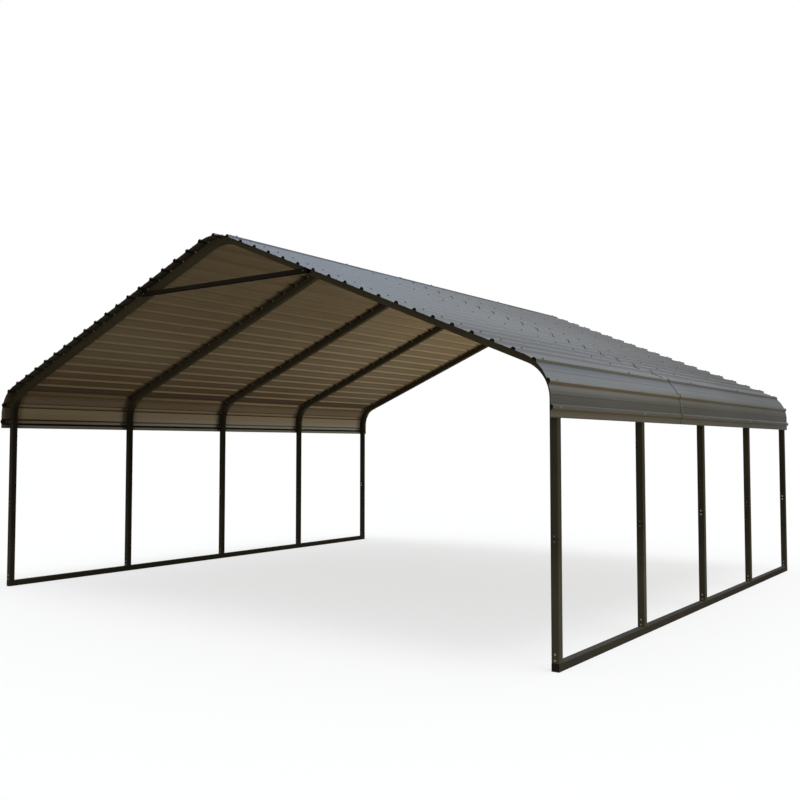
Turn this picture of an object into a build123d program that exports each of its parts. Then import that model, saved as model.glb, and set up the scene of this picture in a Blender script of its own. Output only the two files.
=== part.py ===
"""Open two-car carport: five bent-tube frames on two base rails, roofed with ribbed steel sheets.

X runs across the carport, Y along it from the front to the rear, and Z up.
The origin is on the ground in the middle of the footprint.  Lengths are in millimetres.
"""

import os
from math import cos, degrees, radians, sin, tan

from build123d import *

# Frame sizes
post_span = 6480.0          # outer face to outer face of the posts, across
bay_length = 1524.0         # centre to centre of neighbouring frames, along
leg_height = 1818.0         # ground to the start of the eave bend
roof_slope = 22.4           # degrees
eave_radius = 330.0         # outer face of the tube at the eave bend
peak_radius = 480.0         # outer face of the tube at the peak bend
tube = 57.0                 # square tube, outside
tube_wall = 1.5
corner_share = 1.35         # flat that stands for a tube's rounded corner, as a share of its wall
bay_count = 4

# Joints in the frame
splice_height = 875.0       # ground to the joint in each post
sleeve_clearance = 0.3      # each side, between a sleeve and the tube around it
stub_height = 160.0         # upstand that is welded to the rail and stands inside the post
splice_sleeve_length = 240.0
peak_sleeve_turn = 14.0     # degrees each side of the peak
cap_plate = 2.0             # end plate of the plug that closes each end of a rail
cap_plug = 20.0             # how far that plug goes into the rail

# Tie across the front frame
tie_tube = 38.0
tie_wall = 1.5
tie_drop = 451.0            # from where the slopes would meet down to the middle of the tie
tie_end_margin = 4.0        # from the tie's top corner to the outer face of the rafter

# Roof sheets
sheet_thickness = 0.5
sheet_seat = 0.3            # between the frame and the sheet on it
lap_gap = 0.2               # between two lapped sheets
roof_overhang = 99.0        # past the end frames' outer faces
skirt_drop = 132.0          # from the end of the eave bend to the sheet's lower edge
hem = 70.0                  # from the lowest rib to the sheet's lower edge
rib_height = 18.0
rib_base = 46.0
rib_crest = 22.0
bead_height = 2.5           # low stiffening bead in the middle of each pan
bead_width = 18.0
bead_place_share = 0.5      # place of the bead, as a share of the way from one rib to the next
lap_lip = 9.0               # flat that a sheet runs on past its last rib
lap_ramp = 14.0             # length in which a sheet climbs on to its neighbour
cross_lap = 100.0           # overlap of the rear sheets on the front ones
cross_seam_share = 0.403    # place of the rear sheets' front edge, as a share of the roof's length
half_ridge_pitches = 3      # rib pitches from the peak to the ridge sheet's edge
strip_pitches = 6           # rib pitches on every other sheet
slope_strips = 2            # sheets between the ridge sheet and the eave sheet, each side

# Worked out from the sizes above
slope = radians(roof_slope)
eave_turn = radians(90.0) - slope
half_span = post_span / 2
frame_length = bay_count * bay_length + tube
roof_length = frame_length + 2 * roof_overhang
roof_front = -roof_length / 2
cross_seam = roof_front + cross_seam_share * roof_length
frame_places = [(index - bay_count / 2) * bay_length for index in range(bay_count + 1)]
frame_names = ["front", "second", "middle", "fourth", "rear"]
post_centre = half_span - tube / 2
ribs_per_side = half_ridge_pitches + (slope_strips + 1) * strip_pitches

# The roof line is the outer face of the frames: peak bend, slope, eave bend and skirt
eave_tangent = eave_radius * tan(eave_turn / 2)
slope_run = half_span / cos(slope) - peak_radius * tan(slope) - eave_tangent
sharp_peak = leg_height + eave_tangent + half_span * tan(slope)
roof_peak = sharp_peak - peak_radius * (1 / cos(slope) - 1)
peak_end = peak_radius * slope
slope_end = peak_end + slope_run
eave_end = slope_end + eave_radius * eave_turn
sheet_end = eave_end + skirt_drop
rib_pitch = (sheet_end - hem) / ribs_per_side
sheet_step = sheet_thickness + lap_gap
sleeve_size = tube - 2 * (tube_wall + sleeve_clearance)     # outside of what slides into the frame's tube

os.makedirs("parts", exist_ok=True)


def roof_point(along, lift):
    """Point at a distance along the roof line from the peak, lifted outwards from it."""
    side = 1 if along >= 0 else -1
    run = abs(along)
    if run <= peak_end:
        turn = run / peak_radius
        reach = peak_radius + lift
        x, z = reach * sin(turn), roof_peak - peak_radius + reach * cos(turn)
    elif run <= slope_end:
        run -= peak_end
        x = peak_radius * sin(slope) + run * cos(slope) + lift * sin(slope)
        z = roof_peak - peak_radius * (1 - cos(slope)) - run * sin(slope) + lift * cos(slope)
    elif run <= eave_end:
        turn = slope + (run - slope_end) / eave_radius
        reach = eave_radius + lift
        x, z = half_span - eave_radius + reach * sin(turn), leg_height + reach * cos(turn)
    else:
        x, z = half_span + lift, leg_height - (run - eave_end)
    return (side * x, z)


def on_bend(along):
    """Whether a place on the roof line lies on one of its round stretches."""
    return abs(along) < peak_end or slope_end < abs(along) < eave_end


def save(piece, name):
    """Label a finished piece and write it to its own file."""
    piece.part.label = name
    export_step(piece.part, f"parts/{name}.step")


def eased_square(size, wall):
    """Square with a tube's eased corners, in the sketch that is open."""
    half = size / 2
    flat = half - corner_share * wall
    corners = [(half, flat), (flat, half), (-flat, half), (-half, flat)]
    Polygon(*corners, *[(-x, -y) for x, y in corners])


def tube_section(size, wall):
    """Hollow square section in the sketch that is open."""
    bore = size - 2 * wall
    eased_square(size, wall)
    Rectangle(bore, bore, mode=Mode.SUBTRACT)


def sleeve_section():
    """Hollow square section that slides into the frame's tube, in the sketch that is open."""
    bore = sleeve_size - 2 * tube_wall
    Rectangle(sleeve_size, sleeve_size)
    Rectangle(bore, bore, mode=Mode.SUBTRACT)


# Base rails, closed at both ends by a plug
rail_end = Plane((post_centre, -frame_length / 2, tube / 2), x_dir=(1, 0, 0), z_dir=(0, 1, 0))

with BuildPart() as right_rail:
    with BuildSketch(rail_end.offset(cap_plate)):
        tube_section(tube, tube_wall)
    extrude(amount=frame_length - 2 * cap_plate)

with BuildPart() as left_rail:
    mirror(right_rail.part, about=Plane.YZ)

save(right_rail, "right_base_rail")
save(left_rail, "left_base_rail")

with BuildPart() as front_right_cap:
    with BuildSketch(rail_end):
        eased_square(tube, tube_wall)
    extrude(amount=cap_plate)
    with BuildSketch(rail_end.offset(cap_plate)):
        Rectangle(sleeve_size, sleeve_size)
    extrude(amount=cap_plug)

with BuildPart() as right_caps:
    add(front_right_cap.part)
    mirror(front_right_cap.part, about=Plane.XZ)

with BuildPart() as left_caps:
    mirror(right_caps.part, about=Plane.YZ)

save(right_caps, "right_rail_caps")
save(left_caps, "left_rail_caps")

# Upstands on the rails and sleeves in the post joints
right_places = [(post_centre, place) for place in frame_places]


def post_sleeves(start, length):
    """One inner sleeve in each post of the right side."""
    with BuildPart() as sleeves:
        with BuildSketch(Plane.XY.offset(start)):
            with Locations(*right_places):
                sleeve_section()
        extrude(amount=length)
    return sleeves


right_stubs = post_sleeves(tube, stub_height)
right_sleeves = post_sleeves(splice_height - splice_sleeve_length / 2, splice_sleeve_length)

with BuildPart() as left_stubs:
    mirror(right_stubs.part, about=Plane.YZ)

with BuildPart() as left_sleeves:
    mirror(right_sleeves.part, about=Plane.YZ)

save(right_stubs, "right_base_stubs")
save(left_stubs, "left_base_stubs")
save(right_sleeves, "right_post_sleeves")
save(left_sleeves, "left_post_sleeves")

# One frame's right half: a straight lower post, and a bow from the post's joint to the peak
with BuildPart() as lower_post:
    with BuildSketch(Plane((post_centre, 0, tube), x_dir=(1, 0, 0), z_dir=(0, 0, 1))):
        tube_section(tube, tube_wall)
    extrude(amount=splice_height - tube)

with BuildPart() as bow:
    with BuildLine(Plane.XZ) as bow_path:
        upper_post = Line((post_centre, splice_height), (post_centre, leg_height))
        eave_bend = JernArc(upper_post @ 1, upper_post % 1, eave_radius - tube / 2, degrees(eave_turn))
        rafter = Line(eave_bend @ 1, (eave_bend @ 1) + (eave_bend % 1) * slope_run)
        JernArc(rafter @ 1, rafter % 1, peak_radius - tube / 2, roof_slope)
    with BuildSketch(Plane((post_centre, 0, splice_height), x_dir=(1, 0, 0), z_dir=(0, 0, 1))):
        tube_section(tube, tube_wall)
    sweep(path=bow_path.wires()[0])

with BuildPart() as lower_post_left:
    mirror(lower_post.part, about=Plane.YZ)

with BuildPart() as bow_left:
    mirror(bow.part, about=Plane.YZ)

frame_pieces = {
    "right_lower_post": lower_post,
    "left_lower_post": lower_post_left,
    "right_bow": bow,
    "left_bow": bow_left,
}

for frame_name, place in zip(frame_names, frame_places):
    for piece_name, pattern in frame_pieces.items():
        with BuildPart() as piece:
            with Locations((0, place, 0)):
                add(pattern.part)
        save(piece, f"{frame_name}_{piece_name}")

# Bent sleeve inside the two bows at each peak
with BuildPart() as peak_sleeve:
    sleeve_radius = peak_radius - tube / 2
    with BuildLine(Plane.XZ) as sleeve_path:
        CenterArc((0, roof_peak - peak_radius), sleeve_radius, 90.0 - peak_sleeve_turn, 2 * peak_sleeve_turn)
    sleeve_start = sleeve_path.edges()[0]
    with BuildSketch(Plane(sleeve_start @ 0, x_dir=(0, 1, 0), z_dir=sleeve_start % 0)):
        sleeve_section()
    sweep(path=sleeve_path.wires()[0])

with BuildPart() as peak_sleeves:
    with Locations(*[(0, place, 0) for place in frame_places]):
        add(peak_sleeve.part)

save(peak_sleeves, "peak_sleeves")

# Tie on the front face of the front frame, as long as the rafters leave room for
tie_height = sharp_peak - tie_drop
tie_half_length = (tie_drop - tie_tube / 2) / tan(slope) - tie_end_margin

with BuildPart() as front_tie:
    tie_middle = (-tie_half_length, -frame_length / 2 - tie_tube / 2, tie_height)
    with BuildSketch(Plane(tie_middle, x_dir=(0, 1, 0), z_dir=(1, 0, 0))):
        tube_section(tie_tube, tie_wall)
    extrude(amount=2 * tie_half_length)

save(front_tie, "front_tie")


def rib(number, lift):
    """Corners of one rib, in the order that they follow along the roof line."""
    middle = number * rib_pitch
    return [
        (middle - rib_base / 2, lift),
        (middle - rib_crest / 2, lift + rib_height),
        (middle + rib_crest / 2, lift + rib_height),
        (middle + rib_base / 2, lift),
    ]


def bead(number, lift):
    """Corners of the low bead in the pan after a rib."""
    middle = (number + bead_place_share) * rib_pitch
    return [(middle - bead_width / 2, lift), (middle, lift + bead_height), (middle + bead_width / 2, lift)]


def sheet_corners(first, last, laps_over_first, laps_over_last):
    """Corners of one sheet's underside, from its first rib to its last.

    At an edge that laps over a neighbour the last rib stands one step higher, and at the
    other edge the rib goes under the neighbour's.  A sheet past the last rib runs to its hem.
    """
    corners = []
    for number in range(first, last + 1):
        over = (laps_over_first and number == first) or (laps_over_last and number == last)
        rise = sheet_step if over else 0
        foot = rib(number, rise)
        reach = rib_base / 2 + lap_lip
        if number == first:
            corners.append((number * rib_pitch - reach, rise))
        elif over:
            corners += [(number * rib_pitch - reach - lap_ramp, 0), (number * rib_pitch - reach, rise)]
        corners += foot
        if number == last and number == ribs_per_side:
            corners.append((sheet_end, 0))
        elif number == last:
            corners.append((number * rib_pitch + reach, rise))
        elif over:
            corners += [(number * rib_pitch + reach, rise), (number * rib_pitch + reach + lap_ramp, 0)]
        if number < last:
            corners += bead(number, 0)
    return corners


def lay_line(corners):
    """Draw a sheet's line through its corners, with the pans round where the roof line is."""
    bend_ends = [side * end for side in (-1, 1) for end in (peak_end, slope_end, eave_end)]
    for (start, start_lift), (end, end_lift) in zip(corners, corners[1:]):
        level = start_lift == end_lift
        breaks = [place for place in bend_ends if level and min(start, end) < place < max(start, end)]
        places = sorted([start, *breaks, end], reverse=start > end)
        for near, far in zip(places, places[1:]):
            near_point = roof_point(near, start_lift)
            far_point = roof_point(far, end_lift)
            middle = (near + far) / 2
            if level and on_bend(middle):
                ThreePointArc(near_point, roof_point(middle, start_lift), far_point)
            else:
                Line(near_point, far_point)


def ribbed_sheet(corners, lift, front, rear):
    """One ribbed sheet, drawn at its front edge and pushed to its rear edge."""
    lower = [(along, rise + lift) for along, rise in corners]
    upper = [(along, rise + sheet_thickness) for along, rise in reversed(lower)]
    with BuildPart() as sheet:
        with BuildSketch(Plane((0, front, 0), x_dir=(1, 0, 0), z_dir=(0, -1, 0))):
            with BuildLine():
                lay_line(lower)
                Line(roof_point(*lower[-1]), roof_point(*upper[0]))
                lay_line(upper)
                Line(roof_point(*upper[-1]), roof_point(*lower[0]))
            make_face()
        extrude(amount=front - rear)
    return sheet


# The ridge sheet laps over its neighbours on both sides, and each other sheet over the next one down
strip_edges = [half_ridge_pitches + index * strip_pitches for index in range(slope_strips + 2)]
strip_names = ["upper", "lower", "eave"]
sheet_plans = {"ridge": sheet_corners(-half_ridge_pitches, half_ridge_pitches, True, True)}
for strip_name, first, last in zip(strip_names, strip_edges, strip_edges[1:]):
    right = sheet_corners(first, last, False, last < ribs_per_side)
    sheet_plans[f"right_{strip_name}"] = right
    sheet_plans[f"left_{strip_name}"] = [(-along, rise) for along, rise in reversed(right)]

# The rear sheets lie on the front ones at the cross seam, clear of their side laps
roof_rows = {
    "front": (sheet_seat, roof_front, cross_seam + cross_lap),
    "rear": (sheet_seat + 2 * sheet_step, cross_seam, -roof_front),
}

for row_name, (lift, front, rear) in roof_rows.items():
    for plan_name, corners in sheet_plans.items():
        save(ribbed_sheet(corners, lift, front, rear), f"{row_name}_{plan_name}_sheet")

print(f"frame {post_span:.0f} wide, {frame_length:.0f} long, roof {roof_length:.0f} long")
print(f"peak {roof_peak:.0f} high, rib pitch {rib_pitch:.1f}, tie {2 * tie_half_length:.0f} long")
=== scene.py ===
import math

import bmesh
import bpy
from mathutils import Matrix, Vector


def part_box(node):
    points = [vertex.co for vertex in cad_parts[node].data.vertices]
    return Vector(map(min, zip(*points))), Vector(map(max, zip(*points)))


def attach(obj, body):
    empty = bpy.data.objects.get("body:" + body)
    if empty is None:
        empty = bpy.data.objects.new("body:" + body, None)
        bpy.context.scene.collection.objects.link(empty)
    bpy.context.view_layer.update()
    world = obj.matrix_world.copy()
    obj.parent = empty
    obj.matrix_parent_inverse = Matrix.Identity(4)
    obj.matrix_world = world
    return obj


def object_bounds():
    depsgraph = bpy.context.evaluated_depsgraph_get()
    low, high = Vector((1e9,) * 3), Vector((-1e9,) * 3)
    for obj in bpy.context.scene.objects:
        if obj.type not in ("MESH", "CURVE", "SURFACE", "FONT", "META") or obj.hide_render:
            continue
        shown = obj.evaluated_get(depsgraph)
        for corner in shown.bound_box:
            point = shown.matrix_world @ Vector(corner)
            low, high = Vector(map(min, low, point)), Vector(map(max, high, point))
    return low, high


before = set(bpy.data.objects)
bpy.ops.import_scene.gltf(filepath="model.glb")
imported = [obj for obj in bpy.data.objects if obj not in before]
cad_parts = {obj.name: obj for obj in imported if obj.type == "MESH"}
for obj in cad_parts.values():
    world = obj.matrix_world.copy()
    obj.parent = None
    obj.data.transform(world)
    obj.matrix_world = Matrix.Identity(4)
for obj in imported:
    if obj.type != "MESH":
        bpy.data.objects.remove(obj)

cadLow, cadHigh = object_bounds()
print("frame loaded:", len(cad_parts), "nodes")

# the roof line, as the frame was built: peak bend, slope, eave bend, skirt
roofLine = {
    "slope": math.radians(22.4),
    "eaveRadius": 0.330,
    "peakRadius": 0.480,
    "legHeight": 1.818,
    "ribsPerSide": 21,
    "hem": 0.070,            # lowest rib to the sheet's lower edge
    "ribHeight": 0.018,
    "ribBase": 0.046,
    "ribCrest": 0.022,
    "sheetLift": 0.0008,     # seat and sheet, from the tube to the sheet's outer face
    "rowStep": 0.0014,       # how much higher the rear row lies than the front row
}

frameNames = ["front", "second", "middle", "fourth", "rear"]
sideNames = ["left", "right"]


def boxMiddle(node):
    low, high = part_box(node)
    return (low + high) / 2


framePlaces = [boxMiddle(name + "_right_lower_post").y for name in frameNames]
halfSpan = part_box("front_right_bow")[1].x
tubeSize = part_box("right_base_rail")[1].z
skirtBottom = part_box("front_right_eave_sheet")[0].z
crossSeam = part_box("rear_ridge_sheet")[0].y
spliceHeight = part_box("front_right_lower_post")[1].z


def roofLengths():
    line = roofLine
    eaveTurn = math.pi / 2 - line["slope"]
    run = halfSpan / math.cos(line["slope"])
    run -= line["peakRadius"] * math.tan(line["slope"]) + line["eaveRadius"] * math.tan(eaveTurn / 2)
    peakEnd = line["peakRadius"] * line["slope"]
    eaveEnd = peakEnd + run + line["eaveRadius"] * eaveTurn
    sheetEnd = eaveEnd + line["legHeight"] - skirtBottom
    return peakEnd, peakEnd + run, eaveEnd, sheetEnd


peakEnd, slopeEnd, eaveEnd, sheetEnd = roofLengths()
ribPitch = (sheetEnd - roofLine["hem"]) / roofLine["ribsPerSide"]
ribFoot = roofLine["ribBase"] / 2 / ribPitch                     # from a rib's middle, in rib pitches
eaveRib, skirtRib, hemRib = [roofLine["ribsPerSide"] - step for step in (2, 1, 0)]
ribNumbers = range(-roofLine["ribsPerSide"], roofLine["ribsPerSide"] + 1)


def roofPlace(along, lift, y):
    # point on the roof and the direction straight out of it
    line = roofLine
    side = 1 if along >= 0 else -1
    run = abs(along)
    peakHeight = line["legHeight"] + line["eaveRadius"] * math.tan((math.pi / 2 - line["slope"]) / 2)
    peakHeight += halfSpan * math.tan(line["slope"]) - line["peakRadius"] / math.cos(line["slope"])
    if run <= peakEnd:
        turn = run / line["peakRadius"]
        hub, reach = Vector((0, 0, peakHeight)), line["peakRadius"]
    elif run <= slopeEnd:
        turn = line["slope"]
        onSlope = run - peakEnd
        hub = Vector((onSlope * math.cos(turn), 0, peakHeight - onSlope * math.sin(turn)))
        reach = line["peakRadius"]
    elif run <= eaveEnd:
        turn = line["slope"] + (run - slopeEnd) / line["eaveRadius"]
        hub, reach = Vector((halfSpan - line["eaveRadius"], 0, line["legHeight"])), line["eaveRadius"]
    else:
        turn = math.pi / 2
        hub = Vector((halfSpan - line["eaveRadius"], 0, line["legHeight"] - (run - eaveEnd)))
        reach = line["eaveRadius"]
    out = Vector((math.sin(turn), 0, math.cos(turn)))
    point = hub + out * (reach + lift)
    return Vector((side * point.x, y, point.z)), Vector((side * out.x, 0, out.z))


# camera at the photograph's place
cameraView = {
    "place": (6.007, -8.720, 1.5014),
    "lens": 41.66,
    "sensor": 36.0,
    "turn": 35.756,          # degrees
    "tilt": 2.804,
    "clipEnd": 400.0,
}


def makeCamera():
    data = bpy.data.cameras.new("photoCamera")
    data.sensor_width = cameraView["sensor"]
    data.lens = cameraView["lens"]
    data.clip_end = cameraView["clipEnd"]
    camera = bpy.data.objects.new("photoCamera", data)
    camera.location = cameraView["place"]
    camera.rotation_euler = (math.radians(90 + cameraView["tilt"]), 0, math.radians(cameraView["turn"]))
    bpy.context.scene.collection.objects.link(camera)
    bpy.context.scene.camera = camera


makeCamera()
print("camera set")


class Wire:
    # one output socket; sums and products of wires add Math nodes
    def __init__(self, socket):
        self.socket = socket
        self.tree = socket.id_data

    def add(self, nodeType, settings, sockets, out=0):
        node = self.tree.nodes.new(nodeType)
        for name, value in settings.items():
            setattr(node, name, value)
        for name, value in sockets.items():
            if isinstance(value, Wire):
                self.tree.links.new(value.socket, node.inputs[name])
            else:
                node.inputs[name].default_value = value
        return Wire(node.outputs[out])

    def math(self, operation, other=0.0, swapped=False):
        pair = {0: other, 1: self} if swapped else {0: self, 1: other}
        return self.add("ShaderNodeMath", {"operation": operation}, pair)

    def __add__(self, other):
        return self.math("ADD", other)

    def __radd__(self, other):
        return self.math("ADD", other, swapped=True)

    def __sub__(self, other):
        return self.math("SUBTRACT", other)

    def __rsub__(self, other):
        return self.math("SUBTRACT", other, swapped=True)

    def __mul__(self, other):
        return self.math("MULTIPLY", other)

    def __rmul__(self, other):
        return self.math("MULTIPLY", other, swapped=True)

    def __truediv__(self, other):
        return self.math("DIVIDE", other)

    def __rtruediv__(self, other):
        return self.math("DIVIDE", other, swapped=True)

    def __abs__(self):
        return self.math("ABSOLUTE")

    def fromWhole(self):
        # how far past the nearest whole number, from -0.5 to 0.5
        return (self + 0.5).math("FRACT") - 0.5

    def noise(self, scale, detail, roughness=0.55):
        return self.add("ShaderNodeTexNoise", {"noise_dimensions": "3D"},
                        {"Vector": self, "Scale": scale, "Detail": detail, "Roughness": roughness}, "Fac")

    def swing(self, amount):
        # a noise as a swing about zero
        return (self - 0.5) * amount

    def stretch(self, scale):
        return self.add("ShaderNodeMapping", {"vector_type": "POINT"}, {"Vector": self, "Scale": scale})

    def between(self, low, high):
        # 0 below low, 1 above high
        return self.add("ShaderNodeMapRange", {"interpolation_type": "SMOOTHSTEP"},
                        {"Value": self, "From Min": low, "From Max": high, "To Min": 0.0, "To Max": 1.0})

    def within(self, low, high, fade):
        # 1 from low to high, fading out on both sides
        return self.between(low - fade, low) * (1 - self.between(high, high + fade))

    def blend(self, first, second):
        # colours mixed by this wire
        return self.add("ShaderNodeMix", {"data_type": "RGBA"}, {0: self, 6: first, 7: second}, 2)

    def shade(self, colour, tint):
        # a colour multiplied by a tint, as far as this wire says
        return self.add("ShaderNodeMix", {"data_type": "RGBA", "blend_type": "MULTIPLY"},
                        {0: self, 6: colour, 7: tint}, 2)

    def bump(self, strength, distance):
        return self.add("ShaderNodeBump", {}, {"Height": self, "Strength": strength, "Distance": distance})

    def part(self, axis):
        return self.add("ShaderNodeSeparateXYZ", {}, {0: self}, axis)


def newMaterial(name):
    material = bpy.data.materials.new(name)
    material.use_nodes = True
    shader = material.node_tree.nodes["Principled BSDF"]
    coords = Wire(shader.outputs[0]).add("ShaderNodeTexCoord", {}, {}, "Object")
    return material, shader, coords


def feed(shader, **wires):
    names = {"colour": "Base Color", "roughness": "Roughness", "normal": "Normal"}
    for name, wire in wires.items():
        wire.tree.links.new(wire.socket, shader.inputs[names[name]])


tubePaint = {
    "rail": ((0.0700, 0.0645, 0.0490, 1), (0.0880, 0.0810, 0.0630, 1)),     # plain and worn
    "post": ((0.0425, 0.0390, 0.0265, 1), (0.0575, 0.0525, 0.0370, 1)),
    "bow": ((0.0820, 0.0715, 0.0440, 1), (0.1030, 0.0900, 0.0575, 1)),      # lighter: painted light up under the roof
    "tie": ((0.0205, 0.0168, 0.0138, 1), (0.0280, 0.0232, 0.0188, 1)),      # darker than the frames: painted shade
    "inner": (0.48, 0.47, 0.45, 1),          # painted shade on the faces turned to the middle
    "outer": (1.75, 1.74, 1.78, 1),          # tint of the faces turned outwards: painted light
    "foot": (1.50, 1.52, 1.60, 1),           # tint that makes the posts' feet lighter and bluer
    "dustAndShading": (1.00, 1.04, 1.22, 1),           # tint of the tops of the rails and the tie: painted sky light
    "joint": (0.0060, 0.0055, 0.0045, 1),    # hairline where two lengths meet
    "jointWidth": 0.0024,
    "jointFade": 0.0004,
    "faceTurn": (0.60, 0.95),                # how squarely a face is turned, from none of its tint to all
    "footHeights": (0.30, 0.95),             # between these heights the foot's tint fades out
    "bowHeights": (1.85, 2.10),              # and the posts' tone turns into the bows'
    "peakHeights": (3.00, 3.10),             # over these a hairline in the middle is the peak's joint
    "clouds": (1.7, 5.0),                    # scale and detail of the worn patches
    "worn": (0.35, 0.75),
    "speckle": (260.0, 2.0),
    "speckleBump": (0.12, 0.0006),
    "roughness": 0.55,
    "cloudRoughness": 0.18,
    "speckleRoughness": 0.08,
    "specular": 0.0,
}


def makeTubePaint(name, low, high):
    paint = tubePaint
    material, shader, coords = newMaterial(name)
    normal = coords.add("ShaderNodeNewGeometry", {}, {}, "Normal")
    x, z = coords.part(0), coords.part(2)
    clouds = coords.noise(*paint["clouds"])
    speckle = coords.noise(*paint["speckle"])
    worn = clouds.between(*paint["worn"])
    # the bows' lighter tone is painted light up under the roof
    colour = z.between(*paint["bowHeights"]).blend(worn.blend(*paint[low]), worn.blend(*paint[high]))
    outwards = x.math("SIGN") * normal.part(0)
    askew, square = paint["faceTurn"]
    # painted shade on the faces turned to the middle
    colour = outwards.between(-askew, -square).shade(colour, paint["inner"])
    if low == "post":
        # painted light on the faces turned outwards
        colour = outwards.between(askew, square).shade(colour, paint["outer"])
        colour = (1 - z.between(*paint["footHeights"])).shade(colour, paint["foot"])
    else:
        # painted sky light on the faces turned up
        colour = normal.part(2).between(askew, square).shade(colour, paint["dustAndShading"])
    half, fade = paint["jointWidth"] / 2, paint["jointFade"]
    atPeak = x.within(-half, half, fade) * z.between(*paint["peakHeights"])
    atSplice = z.within(spliceHeight - half, spliceHeight + half, fade)
    colour = (atPeak + atSplice).blend(colour, paint["joint"])
    roughness = paint["roughness"] + clouds.swing(paint["cloudRoughness"])
    feed(shader, colour=colour, roughness=roughness + speckle.swing(paint["speckleRoughness"]),
         normal=speckle.bump(*paint["speckleBump"]))
    shader.inputs["Specular IOR Level"].default_value = paint["specular"]
    return material


sheetPaint = {
    "top": (0.226, 0.237, 0.249, 1),
    "topWorn": (0.202, 0.209, 0.217, 1),
    "lowSlope": (0.138, 0.144, 0.153, 1),    # the last ribs of the slopes, darker
    "crestShade": (0.150, 0.157, 0.165, 1),       # painted shade on the tops of the ribs on the slopes
    "paintedLight": (0.430, 0.445, 0.466, 1),    # and their sides: painted light
    "eaveShadeBlue": (0.146, 0.161, 0.188, 1),    # the eave's pan, from its upper rib: painted shade, darker and bluer
    "eaveLight": (0.245, 0.258, 0.269, 1),   # and to its lower rib, lighter
    "skirt": (0.268, 0.273, 0.270, 1),       # the skirt's pan, just under its upper rib: painted light
    "skirtLow": (0.104, 0.104, 0.090, 1),    # and below, darker: painted shade
    "ribShadeOlive": (0.180, 0.185, 0.140, 1),    # painted shade on the lower sides of the three lowest ribs
    "ribShadeBrown": (0.166, 0.126, 0.060, 1),
    "ribShadeDark": (0.122, 0.096, 0.051, 1),
    "hem": (0.184, 0.166, 0.117, 1),         # the strip under the lowest rib
    "hemEdge": (0.060, 0.054, 0.040, 1),
    "hemRibHighlight": (0.116, 0.118, 0.110, 1),    # painted highlight on the upper side of the lowest rib
    "frontSkyTint": (1.04, 1.10, 1.20, 1),      # the front of the slopes, bluer: painted reflection of the sky
    "rearShade": (0.52, 0.515, 0.495, 1),     # the rear, darker, most of all low down: painted shade
    "rearSkirtShade": (0.70, 0.685, 0.555, 1),    # and its skirt, darker still: painted shade
    "under": (0.240, 0.186, 0.108, 1),
    "underWorn": (0.196, 0.148, 0.082, 1),
    "underRibShade": (0.130, 0.096, 0.052, 1),   # painted shade below each rib
    "underFlankLight": (0.400, 0.335, 0.235, 1),   # painted light on the side of each rib
    # painted shade on the inside of the eave
    "underEave": (0.190, 0.155, 0.118, 1),
    "underDark": (0.085, 0.052, 0.032, 1),   # painted shade on the inside of the eave, just below its upper rib
    "underLowTint": (0.59, 0.50, 0.39, 1),     # tint that makes the low pans darker and browner
    "underLastPanShade": (0.074, 0.051, 0.031, 1),    # painted shade on the last pan of the slopes, over the eave's upper rib
    # painted light on the skirt's inside and on its rib's crest
    "underSkirt": (0.340, 0.280, 0.190, 1),
    "underGrey": (0.375, 0.380, 0.345, 1),   # the skirt's inside, paler and greyer towards the rear: painted light
    "underHem": (0.232, 0.228, 0.205, 1),
    "underCornerShade": (0.004, 0.003, 0.002, 1),  # painted shade in the corner under the lowest rib
    "underShade": (0.030, 0.022, 0.014, 1),   # painted shade in corners, along the tubes and at the open ends
    "roughness": 0.48,
    "cloudRoughness": 0.2,
    "underRoughness": 0.12,                  # how much duller the underside is
    "clouds": (0.9, 5.0),                    # scale and detail of each noise
    "runOff": (2.4, 6.0),
    "runOffStretch": (0.5, 9.0, 0.5),
    "rolled": (26.0, 3.0),                   # lines left by the rolls, along the ribs
    "rolledStretch": (1.0, 0.03, 1.0),
    "grain": (180.0, 2.0),
    "dents": (3.2, 2.0),
    "grainShare": 0.15,
    "bump": (0.10, 0.004),
    "specular": 0.06,
    "outside": (-0.02, 0.02),                # a face that is turned out by more than this is outside
    "flankFade": 0.001,
    "sideFade": 0.002,                       # about a rib's middle, from its upper to its lower side
    "oneRib": (-0.40, 0.40, 0.05),           # reach that takes in one rib, and its fade
}

# where the outside's tones lie: spans in ribs past the rib named beside them, and shares of the tone
topMarks = {
    "cloudShare": 0.6,                       # of the wear, and the rest is run-off
    "worn": (0.35, 0.68),
    "slopeRibs": (1.5, 0.5, 0.05),           # from the peak, before the eave's rib, and the fade
    "lowSlope": (-8, -2),                    # the eave's rib
    "lowShare": 0.7,
    "crestFade": 0.002,
    "crestShare": 0.7,
    "flankLightShare": 0.9,
    "flankLightLoss": 0.45,                       # low on the slopes
    "eavePan": (0.2, 0.8),                   # the eave's rib
    "skirtPan": (0.10, 0.54),                # the skirt's rib
    "panStart": (-0.02, 0.0),                # a rib's foot
    "lowFlankShade": (0.009, 0.025, 0.002),          # metres below a rib's middle, and the fade
    "lowFlankShadeShare": 0.9,
    "hemCrest": (-0.07, -0.05),              # the hem's rib
    "hemCrestShare": 0.3,
    "hemStrip": (-0.01, 0.02),               # that rib's foot
    "hemStripShare": 0.75,
    "hemDarkShare": 0.85,
    "lowEdge": (0.004, 0.010),               # metres over the sheet's lower edge
    "lowEdgeShare": 0.8,
    "rearEdge": (-0.034, -0.014),            # metres past the roof's rear end
    "rearEdgeShare": 0.55,
    "front": (-1.4, 2.4),                    # metres along the roof, where the front's tint ends
    "frontSlant": 0.29,                      # metres that it ends sooner for each rib
    "rear": (-1.5, 3.2),                     # metres along the roof, where the rear's tint starts and is full
    "rearShare": 0.4,                        # at the peak
    "rearGain": 0.036,                       # and more for each rib
    "rearSkirtShade": (-2.6, -0.6),
    "rearSkirtStart": (-0.5, 0.2),           # the skirt's rib
}

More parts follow.
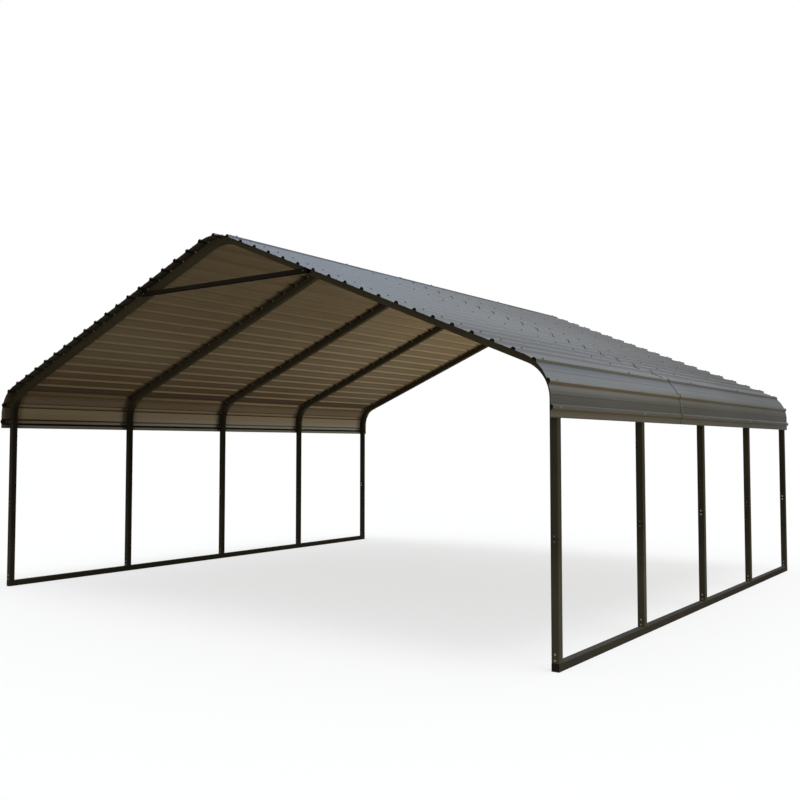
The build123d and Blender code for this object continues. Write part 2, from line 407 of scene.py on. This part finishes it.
# where the underside's tones lie, given in the same way
underMarks = {
    "cloudShare": 0.4,                       # of the wear, and the rest is rolled lines
    "worn": (0.32, 0.68),
    "dustAndShading": (0.020, 0.024),                  # metres below a rib's middle
    "ribShadeEnd": (0.030, 0.070),
    "ribShadeShare": 0.45,
    "lowPans": (-7, -1),                     # the eave's rib
    "lowPansEnd": (-0.2, 0.0),
    "lowPansTintEnd": (0.0, 2.4),                  # metres along the roof
    "lowPansTintLoss": 0.6,                        # past there
    "lastPan": (-0.82, -0.14, 0.06),         # the eave's rib, and the fade
    "lastPanShare": 0.9,
    "lastBead": (-0.55, -0.45, 0.04),
    "lastBeadLoss": 0.4,
    "paleRibs": (1.8, 11.0),                 # the peak
    "paleShare": 0.2,                        # at the peak
    "paleGain": 0.55,                        # and more past those ribs
    "paleEnd": (0.2, 0.3),                   # the eave's rib
    "paleEave": (-2.6, 0.9),                 # metres along the roof, where the eave's rib turns pale
    "eave": (0.3, 0.5),                      # the eave's rib
    "eaveShare": 0.6,
    "eaveShade": (-0.01, 0.01),              # that rib's foot
    "eaveShadeEnd": (0.2, 0.6),
    "eaveShadeShare": 0.45,
    "skirt": (0.02, 0.20),                   # the skirt's rib
    "skirtShare": 0.9,
    "skirtLow": (0.3, 0.9),
    "skirtLowLoss": 0.3,
    "skirtCrest": (-0.05, 0.05, 0.02),
    "skirtCrestShare": 0.75,
    "paintedLight": (-2.7, -0.7),                # metres along the roof
    "paintedLightShare": 0.85,
    "hem": (0.11, 0.14),                     # the hem's rib
    "skirtLine": (0.003, 0.006),             # metres from a rib's foot
    "skirtLineShare": 0.85,
    "hemLine": (0.006, 0.012),
    "hemLineShare": 0.95,
    "hemLineEnd": (-2.6, -1.0),              # metres along the roof
    "hemLineLoss": 0.3,                      # past there
    "hemCorner": (0.015, 0.035, 0.003),      # metres below a rib's middle, and the fade
    "tube": (0.035, 0.115),                  # metres from a tube's side
    "tubeShare": 0.85,
    "tubeEave": (0.0, 0.5),                  # the eave's rib
    "tubeEaveLoss": 0.4,
    "openEnd": (0.0, 0.006),                 # metres past the end frames
    "openShare": 0.82,
    "openEave": (-0.3, 0.5),                 # the eave's rib
    "openEaveLoss": 0.3,
}


def sheetPlace(coords):
    # how far a point faces out of the roof, and its place down the roof counted in ribs from the peak
    normal = coords.add("ShaderNodeNewGeometry", {}, {}, "Normal")
    x, z = coords.part(0), coords.part(2)
    reach = abs(x) - (halfSpan - roofLine["eaveRadius"])
    rise = z - roofLine["legHeight"]
    turn = reach.math("ARCTAN2", rise).math("MAXIMUM", roofLine["slope"]).math("MINIMUM", math.pi / 2)
    sine, cosine = turn.math("SINE"), turn.math("COSINE")
    facing = x.math("SIGN") * sine * normal.part(0) + cosine * normal.part(2)
    along = (turn - roofLine["slope"]) * roofLine["eaveRadius"] + reach * cosine - rise * sine + slopeEnd
    return facing, along / ribPitch


def framePlace(y):
    # distance along the roof from the nearest frame's middle, and past the end frames
    bay = framePlaces[1] - framePlaces[0]
    near = ((y - framePlaces[0]) / bay).fromWhole() * bay
    middle = y - (framePlaces[0] + framePlaces[-1]) / 2
    return abs(near), abs(middle) - (framePlaces[-1] - framePlaces[0]) / 2


def past(place, rib, span):
    # 0 to 1 over a span that is counted in ribs past a rib
    return place.between(rib + span[0], rib + span[1])


def around(place, rib, span):
    # 1 inside such a span, which holds its fade too
    return place.within(rib + span[0], rib + span[1], span[2])


def readSheet(coords):
    # wires that say where a point of a sheet lies
    paint = sheetPaint
    facing, place = sheetPlace(coords)
    downhill = place.fromWhole() * ribPitch
    fromRib = abs(downhill)
    flank = fromRib.within(roofLine["ribCrest"] / 2, roofLine["ribBase"] / 2, paint["flankFade"])
    lowSide = downhill.between(-paint["sideFade"], paint["sideFade"])
    return {
        "outside": facing.between(*paint["outside"]),
        "place": place,
        "y": coords.part(1),
        "z": coords.part(2),
        "downhill": downhill,
        "fromRib": fromRib,
        "flank": flank,
        "lowSide": lowSide,
        "lowFlank": flank * lowSide,
        "atEaveRib": around(place, eaveRib, paint["oneRib"]),
        "atSkirtRib": around(place, skirtRib, paint["oneRib"]),
        "atHemRib": around(place, hemRib, paint["oneRib"]),
        "clouds": coords.noise(*paint["clouds"]),
        "runOff": coords.stretch(paint["runOffStretch"]).noise(*paint["runOff"]),
        "rolled": coords.stretch(paint["rolledStretch"]).noise(*paint["rolled"]),
    }


def paintTop(at):
    paint, marks = sheetPaint, topMarks
    place, y, flank, lowFlank = at["place"], at["y"], at["flank"], at["lowFlank"]
    wear = at["clouds"] * marks["cloudShare"] + at["runOff"] * (1 - marks["cloudShare"])
    top = wear.between(*marks["worn"]).blend(paint["top"], paint["topWorn"])

    # slopes
    slopeRibStart, slopeRibEnd, slopeRibFade = marks["slopeRibs"]
    slopeRibs = place.within(slopeRibStart, eaveRib - slopeRibEnd, slopeRibFade)
    lowSlope = past(place, eaveRib, marks["lowSlope"])
    crestEnd = roofLine["ribCrest"] / 2
    crestShade = 1 - at["fromRib"].between(crestEnd - marks["crestFade"], crestEnd)
    # painted light on the sides of the ribs on the slopes, less low on the slopes
    flankLight = flank * slopeRibs * (1 - lowSlope * marks["flankLightLoss"])
    top = (lowSlope * marks["lowShare"]).blend(top, paint["lowSlope"])
    # painted shade on the tops of the ribs, which catch more sky
    top = (crestShade * slopeRibs * marks["crestShare"]).blend(top, paint["crestShade"])
    top = (flankLight * marks["flankLightShare"]).blend(top, paint["paintedLight"])

    # eave and skirt
    # painted shade on the eave's pan, darker and bluer under its upper rib
    eavePan = past(place, eaveRib, marks["eavePan"]).blend(paint["eaveShadeBlue"], paint["eaveLight"])
    # painted light on the skirt's pan under its upper rib, painted shade below
    skirtPan = past(place, skirtRib, marks["skirtPan"]).blend(paint["skirt"], paint["skirtLow"])
    lowFlankShade = at["downhill"].within(*marks["lowFlankShade"])
    top = past(place, eaveRib + ribFoot, marks["panStart"]).blend(top, eavePan)
    top = past(place, skirtRib + ribFoot, marks["panStart"]).blend(top, skirtPan)
    # painted shade on the lower sides of the eave's rib and the skirt's rib
    top = (lowFlank * at["atEaveRib"] * marks["lowFlankShadeShare"]).blend(top, paint["ribShadeOlive"])
    top = (lowFlankShade * at["atSkirtRib"] * marks["lowFlankShadeShare"]).blend(top, paint["ribShadeBrown"])

    # hem
    lowEdge = 1 - (at["z"] - skirtBottom).between(*marks["lowEdge"])
    top = (past(place, hemRib, marks["hemCrest"]) * marks["hemCrestShare"]).blend(top, paint["hem"])
    top = (past(place, hemRib + ribFoot, marks["hemStrip"]) * marks["hemStripShare"]).blend(top, paint["hem"])
    # painted shade on the lower side of the lowest rib
    top = (lowFlank * at["atHemRib"] * marks["hemDarkShare"]).blend(top, paint["ribShadeDark"])
    top = (lowEdge * marks["lowEdgeShare"]).blend(top, paint["hemEdge"])

    # from the front to the rear: painted sky reflection at the front, painted shade to the rear
    front = 1 - (place * marks["frontSlant"] + y).between(*marks["front"])
    rear = y.between(*marks["rear"]) * (place * marks["rearGain"] + marks["rearShare"])
    rearSkirtShade = y.between(*marks["rearSkirtShade"]) * past(place, skirtRib, marks["rearSkirtStart"])
    rearEdge = (y - cadHigh[1]).between(*marks["rearEdge"])
    top = (front * (1 - lowSlope)).shade(top, paint["frontSkyTint"])
    # painted shade towards the rear
    top = rear.shade(top, paint["rearShade"])
    # more painted shade on the skirt towards the rear
    top = rearSkirtShade.shade(top, paint["rearSkirtShade"])
    # painted highlight on the upper side of the lowest rib
    top = ((flank - lowFlank) * at["atHemRib"]).blend(top, paint["hemRibHighlight"])
    return (rearEdge * marks["rearEdgeShare"]).blend(top, paint["hemEdge"])


def paintUnder(at):
    paint, marks = sheetPaint, underMarks
    place, y, downhill, lowFlank = at["place"], at["y"], at["downhill"], at["lowFlank"]
    wear = at["clouds"] * marks["cloudShare"] + at["rolled"] * (1 - marks["cloudShare"])
    under = wear.between(*marks["worn"]).blend(paint["under"], paint["underWorn"])

    # slopes
    dustAndShading = downhill.between(*marks["dustAndShading"]) * (1 - downhill.between(*marks["ribShadeEnd"]))
    lowPans = past(place, eaveRib, marks["lowPans"]) * (1 - past(place, eaveRib, marks["lowPansEnd"]))
    lowPans = lowPans * (1 - y.between(*marks["lowPansTintEnd"]) * marks["lowPansTintLoss"])
    # painted shade on the last pan, lighter on its bead as a painted highlight
    lastBead = around(place, eaveRib, marks["lastBead"]) * marks["lastBeadLoss"]
    lastPan = around(place, eaveRib, marks["lastPan"]) * (marks["lastPanShare"] - lastBead)
    paleFlanks = lowFlank * (1 - past(place, eaveRib, marks["paleEnd"]))
    paleFlanks = paleFlanks * (1 - at["atEaveRib"] * (1 - y.between(*marks["paleEave"])))
    paleShare = place.between(*marks["paleRibs"]) * marks["paleGain"] + marks["paleShare"]
    # painted shade below each rib
    under = (dustAndShading * marks["ribShadeShare"]).blend(under, paint["underRibShade"])
    under = lowPans.shade(under, paint["underLowTint"])
    under = lastPan.blend(under, paint["underLastPanShade"])
    # painted light on the lower sides of the ribs
    under = (paleFlanks * paleShare).blend(under, paint["underFlankLight"])

    # eave and skirt
    eaveShade = past(place, eaveRib + ribFoot, marks["eaveShade"])
    eaveShade = eaveShade * (1 - past(place, eaveRib, marks["eaveShadeEnd"]))
    skirtLow = past(place, skirtRib, marks["skirtLow"])
    skirt = past(place, skirtRib, marks["skirt"]) * (marks["skirtShare"] - skirtLow * marks["skirtLowLoss"])
    skirtCrest = around(place, skirtRib, marks["skirtCrest"])
    paintedLight = skirtLow * y.between(*marks["paintedLight"])
    # painted shade on the inside of the eave, darkest just below its upper rib
    under = (past(place, eaveRib, marks["eave"]) * marks["eaveShare"]).blend(under, paint["underEave"])
    under = (eaveShade * marks["eaveShadeShare"]).blend(under, paint["underDark"])
    # painted light on the skirt's inside, less low down, and on its rib's crest
    under = skirt.blend(under, paint["underSkirt"])
    under = (skirtCrest * marks["skirtCrestShare"]).blend(under, paint["underSkirt"])
    # painted light on the skirt's inside towards the rear
    under = (paintedLight * marks["paintedLightShare"]).blend(under, paint["underGrey"])
    under = past(place, hemRib, marks["hem"]).blend(under, paint["underHem"])

    # painted shade in corners, along the tubes and at the open ends
    fromFoot = abs(at["fromRib"] - roofLine["ribBase"] / 2)
    skirtLine = (1 - fromFoot.between(*marks["skirtLine"])) * at["atSkirtRib"] * marks["skirtLineShare"]
    hemLine = (1 - fromFoot.between(*marks["hemLine"])) * at["atHemRib"] * (1 - at["lowSide"])
    hemLine = hemLine * (marks["hemLineShare"] - y.between(*marks["hemLineEnd"]) * marks["hemLineLoss"])
    hemCorner = downhill.within(*marks["hemCorner"]) * at["atHemRib"]
    fromFrame, pastEnds = framePlace(y)
    alongTube = 1 - (fromFrame - tubeSize / 2).between(*marks["tube"])
    tubeShare = marks["tubeShare"] - past(place, eaveRib, marks["tubeEave"]) * marks["tubeEaveLoss"]
    openEnd = (pastEnds - tubeSize / 2).between(*marks["openEnd"])
    openShare = marks["openShare"] - past(place, eaveRib, marks["openEave"]) * marks["openEaveLoss"]
    under = (skirtLine + hemLine).blend(under, paint["underShade"])
    under = hemCorner.blend(under, paint["underCornerShade"])
    under = (alongTube * tubeShare).blend(under, paint["underShade"])
    return (openEnd * openShare).blend(under, paint["underShade"])


def makeSheetPaint():
    paint = sheetPaint
    material, shader, coords = newMaterial("roofSheetPaint")
    at = readSheet(coords)
    roughness = paint["roughness"] + at["clouds"].swing(paint["cloudRoughness"])
    unevenness = coords.noise(*paint["grain"]) * paint["grainShare"] + coords.noise(*paint["dents"])
    feed(shader, colour=at["outside"].blend(paintUnder(at), paintTop(at)),
         roughness=roughness + (1 - at["outside"]) * paint["underRoughness"],
         normal=unevenness.bump(*paint["bump"]))
    shader.inputs["Specular IOR Level"].default_value = paint["specular"]
    return material


# colour, dull patches, roughness and metal share of each bare or painted fastener
fastenerFinishes = {
    "sleeveZinc": ((0.64, 0.61, 0.54, 1), (0.40, 0.37, 0.31, 1), 0.36, 0.85),
    # the shanks' pale colour is a painted highlight
    "shankZincHighlight": ((0.90, 0.87, 0.80, 1), (0.80, 0.77, 0.70, 1), 0.50, 0.0),
    "footBoltZinc": ((0.40, 0.33, 0.22, 1), (0.27, 0.21, 0.13, 1), 0.50, 0.4),
    "jointBoltPaint": ((0.115, 0.092, 0.058, 1), (0.070, 0.056, 0.036, 1), 0.60, 0.1),
    "paleBoltZinc": ((0.95, 0.84, 0.60, 1), (0.86, 0.74, 0.50, 1), 0.50, 0.0),
    # a dark strip that stands in for the shade in the lap
    "lapShadeStrip": ((0.036, 0.037, 0.039, 1), (0.062, 0.062, 0.060, 1), 0.45, 0.0),
}
fastenerMottle = {"noise": (90.0, 3.0), "dulled": (0.35, 0.70), "roughness": 0.3, "bump": (0.08, 0.0005)}


def makeFastenerFinish(name):
    colour, dull, roughness, metal = fastenerFinishes[name]
    material, shader, coords = newMaterial(name)
    mottle = coords.noise(*fastenerMottle["noise"])
    feed(shader, colour=mottle.between(*fastenerMottle["dulled"]).blend(colour, dull),
         roughness=roughness + mottle.swing(fastenerMottle["roughness"]),
         normal=mottle.bump(*fastenerMottle["bump"]))
    shader.inputs["Metallic"].default_value = metal
    return material


screwFinish = {
    "colour": (0.052, 0.054, 0.056, 1),
    "dull": (0.085, 0.084, 0.080, 1),
    "glint": (0.250, 0.238, 0.212, 1),    # painted glint on the screws of the two lowest ribs
    "glintHeights": (1.96, 2.02),
    "mottle": (60.0, 3.0),
    "dulled": (0.40, 0.70),
    "roughness": 0.45,
    "mottleRoughness": 0.25,
    "bump": (0.06, 0.0005),
}


def makeScrewPaint():
    finish = screwFinish
    material, shader, coords = newMaterial("roofScrewPaint")
    mottle = coords.noise(*finish["mottle"])
    painted = mottle.between(*finish["dulled"]).blend(finish["colour"], finish["dull"])
    feed(shader, colour=coords.part(2).between(*finish["glintHeights"]).blend(finish["glint"], painted),
         roughness=finish["roughness"] + mottle.swing(finish["mottleRoughness"]),
         normal=mottle.bump(*finish["bump"]))
    return material


capFinish = {
    "colour": (0.015, 0.013, 0.009, 1),
    "worn": (0.026, 0.023, 0.017, 1),
    "scuff": (24.0, 4.0),
    "scuffed": (0.50, 0.75),
    "roughness": 0.6,
    "scuffRoughness": 0.2,
    "pebble": (420.0, 2.0),
    "bump": (0.15, 0.0004),
    "specular": 0.05,
}


def makeCapPlastic():
    finish = capFinish
    material, shader, coords = newMaterial("capPlastic")
    scuff = coords.noise(*finish["scuff"])
    feed(shader, colour=scuff.between(*finish["scuffed"]).blend(finish["colour"], finish["worn"]),
         roughness=finish["roughness"] + scuff.swing(finish["scuffRoughness"]),
         normal=coords.noise(*finish["pebble"]).bump(*finish["bump"]))
    shader.inputs["Specular IOR Level"].default_value = finish["specular"]
    return material


foamFinish = {
    # near black, standing in for the shade in the rib ends
    "colour": (0.010, 0.009, 0.008, 1),
    "dusty": (0.024, 0.021, 0.017, 1),
    "dustAndShading": (30.0, 4.0),
    "dusted": (0.45, 0.80),
    "cells": (900.0, 2.0),
    "roughness": 0.92,
    "cellRoughness": 0.1,
    "bump": (0.5, 0.0006),
    "specular": 0.05,
}


def makeFoam():
    finish = foamFinish
    material, shader, coords = newMaterial("closureShadeFoam")
    cells = coords.noise(*finish["cells"])
    dustAndShading = coords.noise(*finish["dustAndShading"])
    feed(shader, colour=dustAndShading.between(*finish["dusted"]).blend(finish["colour"], finish["dusty"]),
         roughness=finish["roughness"] + cells.swing(finish["cellRoughness"]),
         normal=cells.bump(*finish["bump"]))
    shader.inputs["Specular IOR Level"].default_value = finish["specular"]
    return material


tubeMaterial = makeTubePaint("bronzeTubePaint", "post", "bow")
sleeveMaterial = makeFastenerFinish("sleeveZinc")
shankMaterial = makeFastenerFinish("shankZincHighlight")
footBoltMaterial = makeFastenerFinish("footBoltZinc")
jointBoltMaterial = makeFastenerFinish("jointBoltPaint")
paleBoltMaterial = makeFastenerFinish("paleBoltZinc")
lapShadeMaterial = makeFastenerFinish("lapShadeStrip")
screwMaterial = makeScrewPaint()
foamMaterial = makeFoam()

# finish of the frame's nodes, by the last word of their names; posts and bows have the tube paint
nodeFinishes = {
    "rail": makeTubePaint("railTubePaint", "rail", "rail"),
    "tie": makeTubePaint("tieTubePaint", "tie", "tie"),
    "sheet": makeSheetPaint(),
    "caps": makeCapPlastic(),
    "stubs": sleeveMaterial,
    "sleeves": sleeveMaterial,
}
for name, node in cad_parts.items():
    node.data.materials.clear()
    node.data.materials.append(nodeFinishes.get(name.split("_")[-1], tubeMaterial))
print("finishes on the frame's nodes")


def finishPiece(name, work, material):
    mesh = bpy.data.meshes.new(name)
    bmesh.ops.recalc_face_normals(work, faces=work.faces[:])
    work.to_mesh(mesh)
    work.free()
    piece = bpy.data.objects.new(name, mesh)
    bpy.context.scene.collection.objects.link(piece)
    mesh.materials.append(material)
    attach(piece, "root")


def placing(point, out):
    # a turn that stands a shape's Z along out, at point
    return Matrix.Translation(point) @ out.to_track_quat("Z", "Y").to_matrix().to_4x4()


def addDisc(work, place, sides, radius, taper, start, height):
    # one flat-topped cone of a fastener, from start to start + height along its axis
    shape = Matrix.Translation((0, 0, start + height / 2))
    bmesh.ops.create_cone(work, cap_ends=True, cap_tris=False, segments=sides, radius1=radius,
                          radius2=radius * taper, depth=height, matrix=place @ shape)


roofScrew = {
    "sides": 12,
    "washer": 0.0090,        # radius
    "washerHeight": 0.0028,
    "washerTaper": 0.86,
    "sink": 0.0004,          # of the washer into the sheet
    "flange": 0.0068,
    "flangeHeight": 0.0012,
    "flangeSink": 0.0006,    # of the flange into the washer
    "head": 0.0052,
    "headHeight": 0.0058,
    "headSides": 6,
    "headTaper": 0.9,        # of the flange too
    "shank": 0.0044,         # bare zinc, seen inside the rib, painted pale as a highlight
    "shankSides": 8,
    "shift": -0.016,         # from the tube's middle towards the front
}


def rowLift(y):
    # how much higher the sheet at this place lies than the front row
    return roofLine["rowStep"] if y > crossSeam else 0.0


def addRoofScrew(work, point, out):
    screw = roofScrew
    place = placing(point, out)
    top = screw["washerHeight"]
    addDisc(work, place, screw["sides"], screw["washer"], screw["washerTaper"], -screw["sink"], top)
    addDisc(work, place, screw["sides"], screw["flange"], screw["headTaper"], top - screw["flangeSink"],
            screw["flangeHeight"])
    addDisc(work, place, screw["headSides"], screw["head"], screw["headTaper"], top, screw["headHeight"])


def makeRoofScrews():
    for name, y in zip(frameNames, framePlaces):
        work = bmesh.new()
        lift = roofLine["ribHeight"] + roofLine["sheetLift"] + rowLift(y)
        for number in ribNumbers:
            point, out = roofPlace(number * ribPitch, lift, y + roofScrew["shift"])
            addRoofScrew(work, point, out)
        finishPiece(name + "RoofScrews", work, screwMaterial)


def makeScrewShanks():
    for name, y in zip(frameNames, framePlaces):
        work = bmesh.new()
        height = roofLine["ribHeight"] + rowLift(y)
        for number in ribNumbers:
            point, out = roofPlace(number * ribPitch, 0.0, y + roofScrew["shift"])
            addDisc(work, placing(point, out), roofScrew["shankSides"], roofScrew["shank"], 1.0, 0.0, height)
        finishPiece(name + "ScrewShanks", work, shankMaterial)


makeRoofScrews()
makeScrewShanks()
print("roof screws set")

# near-black foam closures that fill the open ends of the ribs, standing in for the shade in the rib hollows
ribClosure = {
    "length": 0.038,
    "inset": 0.003,          # from the sheet's edge
    "foot": 0.043,           # width at the pan
    "top": 0.0195,
    "seat": 0.0003,          # from the tube's line to the pan
    "clear": 0.0004,         # below the rib's crest
    "edge": 0.0015,
    "edgeSteps": 2,
}


def addRibClosure(work, place):
    foam = ribClosure
    block = bmesh.ops.create_cube(work, size=1.0)["verts"]
    for corner in block:
        wide = foam["top"] if corner.co.z > 0 else foam["foot"]
        corner.co = (corner.co.x * wide, corner.co.y * foam["length"],
                     (corner.co.z + 0.5) * (roofLine["ribHeight"] - foam["clear"]))
    edges = list({edge for corner in block for edge in corner.link_edges})
    grown = bmesh.ops.bevel(work, geom=edges, offset=foam["edge"], affect="EDGES", segments=foam["edgeSteps"],
                            profile=0.5, material=-1)
    corners = {corner for face in grown["faces"] for corner in face.verts}
    bmesh.ops.transform(work, matrix=place, verts=list(corners))


def makeRibClosures():
    setIn = ribClosure["inset"] + ribClosure["length"] / 2
    along = Vector((0, 1, 0))
    for name, y in (("front", cadLow[1] + setIn), ("rear", cadHigh[1] - setIn)):
        work = bmesh.new()
        for number in ribNumbers:
            point, out = roofPlace(number * ribPitch, ribClosure["seat"] + rowLift(y), y)
            turn = Matrix((along.cross(out), along, out)).transposed().to_4x4()
            addRibClosure(work, Matrix.Translation(point) @ turn)
        finishPiece(name + "RibClosures", work, foamMaterial)


makeRibClosures()
print("rib closures set")

# dark strip along the front edge of the rear sheets: painted shade of the gap in the lap
lapStrip = {
    "width": 0.011,
    "height": 0.0042,
    "tuck": 0.0005,          # into the edge of the rear sheets
    "bendStep": 0.03,        # between stations on a pan
}


def sheetStations():
    # places along the roof line where the ribbed sheet turns, from hem to hem
    line = roofLine
    half = []
    for number in range(line["ribsPerSide"] + 1):
        middle = number * ribPitch
        for offset, rise in ((-line["ribBase"] / 2, 0), (-line["ribCrest"] / 2, 1),
                             (line["ribCrest"] / 2, 1), (line["ribBase"] / 2, 0)):
            if middle + offset > 0:
                half.append((middle + offset, rise * line["ribHeight"]))
        pan = middle + line["ribBase"] / 2
        panEnd = pan + ribPitch - line["ribBase"] if number < line["ribsPerSide"] else sheetEnd
        steps = max(1, round((panEnd - pan) / lapStrip["bendStep"]))
        half += [(pan + (panEnd - pan) * step / steps, 0.0) for step in range(1, steps)]
    half.append((sheetEnd, 0.0))
    return [(-along, rise) for along, rise in reversed(half)] + half


def makeLapStrip():
    strip = lapStrip
    work = bmesh.new()
    corners = []
    for along, rise in sheetStations():
        point = roofPlace(along, rise + roofLine["sheetLift"], crossSeam - strip["width"])[0]
        corners.append(work.verts.new(point))
    edges = [work.edges.new(pair) for pair in zip(corners, corners[1:])]
    grown = bmesh.ops.extrude_edge_only(work, edges=edges)["geom"]
    moved = [part for part in grown if isinstance(part, bmesh.types.BMVert)]
    bmesh.ops.translate(work, verts=moved, vec=(0, strip["width"] + strip["tuck"], 0))
    bmesh.ops.recalc_face_normals(work, faces=work.faces[:])
    if sum(face.normal.z for face in work.faces) > 0:
        bmesh.ops.reverse_faces(work, faces=work.faces[:])
    bmesh.ops.solidify(work, geom=work.faces[:], thickness=strip["height"])
    finishPiece("lapShadeStrip", work, lapShadeMaterial)


makeLapStrip()
print("lap sealant set")

postBolt = {
    "footHeights": (0.075, 0.114),      # pair at the post's foot
    "jointOffsets": (-0.017, 0.018),    # pair at the joint in the post
    "washer": 0.0078,                   # radius
    "washerHeight": 0.0020,
    "washerSides": 20,
    "washerTaper": 0.96,
    "head": 0.0057,
    "headHeight": 0.0050,
    "headSides": 6,
    "headTaper": 0.94,
    "sink": 0.0004,                     # of each into what it sits on
    "tieInset": 0.045,                  # from the tie's end to its bolt
}


def addPostBolt(work, point):
    bolt = postBolt
    place = placing(point, Vector((0, -1, 0)))
    top = bolt["washerHeight"]
    addDisc(work, place, bolt["washerSides"], bolt["washer"], bolt["washerTaper"], -bolt["sink"], top)
    addDisc(work, place, bolt["headSides"], bolt["head"], bolt["headTaper"], top - bolt["sink"],
            bolt["headHeight"])


def makePostBolts(label, heights, finishes):
    for name, y in zip(frameNames, framePlaces):
        work = bmesh.new()
        for side in sideNames:
            across = boxMiddle(name + "_" + side + "_lower_post").x
            for height in heights:
                addPostBolt(work, Vector((across, y - tubeSize / 2, height)))
        finishPiece(name + label, work, finishes[name])


def makeTieBolts():
    work = bmesh.new()
    low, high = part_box("front_tie")
    for across in (low.x + postBolt["tieInset"], high.x - postBolt["tieInset"]):
        addPostBolt(work, Vector((across, low.y, (low.z + high.z) / 2)))
    finishPiece("tieBolts", work, screwMaterial)


footBolts = dict.fromkeys(frameNames, footBoltMaterial)
jointBolts = dict.fromkeys(frameNames, jointBoltMaterial)
jointBolts.update(middle=footBoltMaterial, rear=paleBoltMaterial)      # paler on the middle and rear posts
makePostBolts("FootBolts", postBolt["footHeights"], footBolts)
makePostBolts("JointBolts", [spliceHeight + step for step in postBolt["jointOffsets"]], jointBolts)
makeTieBolts()
print("post and tie bolts set")

# pale floor and soft studio light
floorFinish = {
    "shown": (0.97, 0.97, 0.97, 1),
    "bounce": (0.12, 0.105, 0.08, 1),    # the tone that the floor's light has on the object
    "glow": 0.7,                         # share of plain white in what the camera sees
    "roughness": 0.9,
    "specular": 0.0,
    "size": 240.0,
}


def shownRays(start):
    # 1 for the rays that show the plain background, 0 for those that carry light
    path = start.add("ShaderNodeLightPath", {}, {}, "Is Camera Ray")
    kinds = path.socket.node.outputs
    seen = path.math("MAXIMUM", Wire(kinds["Is Glossy Ray"]))
    return seen.math("MAXIMUM", Wire(kinds["Is Transmission Ray"]))


def makeFloor():
    finish = floorFinish
    work = bmesh.new()
    bmesh.ops.create_grid(work, x_segments=1, y_segments=1, size=finish["size"] / 2)
    mesh = bpy.data.meshes.new("studioFloor")
    work.to_mesh(mesh)
    work.free()
    floor = bpy.data.objects.new("studioFloor", mesh)
    bpy.context.scene.collection.objects.link(floor)
    material, shader, coords = newMaterial("studioFloor")
    seen = shownRays(coords)
    feed(shader, colour=seen.blend(finish["bounce"], finish["shown"]))
    shader.inputs["Roughness"].default_value = finish["roughness"]
    shader.inputs["Specular IOR Level"].default_value = finish["specular"]
    glow = seen.add("ShaderNodeEmission", {}, {"Color": (1, 1, 1, 1), "Strength": 1.0})
    mixed = seen.add("ShaderNodeMixShader", {},
                     {0: seen * finish["glow"], 1: Wire(shader.outputs[0]), 2: glow})
    coords.tree.links.new(mixed.socket, coords.tree.nodes["Material Output"].inputs["Surface"])
    mesh.materials.append(material)
    return floor


studio = {
    "zenith": (1.16, 1.21, 1.28, 1),
    "horizon": (0.19, 0.18, 0.16, 1),
    "shown": (1.0, 1.0, 1.0, 1),
    "sunStrength": 1.15,
    "sunAngle": 30.0,        # degrees, for soft shadows
    "sunFrom": (0.26, -0.06, 0.95),
}

# soft lamps near the floor: watts, colour, place, aim, width and height
lowLamps = {
    "rearFill": (118.0, (1.0, 0.92, 0.78), (2.3, 3.5, 0.9), (-1.8, -1.2, 2.3), (1.5, 0.8)),
    "frontFill": (60.0, (1.0, 0.98, 0.92), (1.5, -9.0, 1.0), (0.5, 0.0, 1.6), (6.0, 1.6)),
    "sideBounce": (45.0, (1.0, 0.84, 0.62), (4.6, -1.2, 0.03), (4.3, -1.2, 2.0), (5.0, 1.6)),
}


def makeWorld():
    world = bpy.data.worlds.new("studioWorld")
    bpy.context.scene.world = world
    world.use_nodes = True
    background = world.node_tree.nodes["Background"]
    direction = Wire(background.outputs[0]).add("ShaderNodeTexCoord", {}, {}, "Generated")
    height = direction.part(2).math("MAXIMUM", 0.0)
    sky = (height * height).blend(studio["horizon"], studio["zenith"])
    colour = shownRays(direction).blend(sky, studio["shown"])
    world.node_tree.links.new(colour.socket, background.inputs["Color"])


def addLamp(name, kind, energy, facing):
    data = bpy.data.lights.new(name, kind)
    data.energy = energy
    lamp = bpy.data.objects.new(name, data)
    bpy.context.scene.collection.objects.link(lamp)
    lamp.rotation_euler = Vector(facing).to_track_quat("Z", "Y").to_euler()
    lamp.visible_camera = False
    lamp.visible_glossy = False
    return lamp


def makeLamps(floor):
    sun = addLamp("softSun", "SUN", studio["sunStrength"], studio["sunFrom"])
    sun.data.angle = math.radians(studio["sunAngle"])
    lampSkips = bpy.data.collections.new("lampSkips")    # the low lamps leave no pool on the floor
    lampSkips.objects.link(floor)
    lampSkips.collection_objects[0].light_linking.link_state = "EXCLUDE"
    for name, (power, colour, place, aim, size) in lowLamps.items():
        lamp = addLamp(name, "AREA", power, Vector(place) - Vector(aim))
        lamp.location = place
        lamp.data.shape = "RECTANGLE"
        lamp.data.size, lamp.data.size_y = size
        lamp.data.color = colour
        lamp.light_linking.receiver_collection = lampSkips


makeWorld()
makeLamps(makeFloor())
bpy.context.scene.view_settings.view_transform = "Standard"
print("floor and light set")
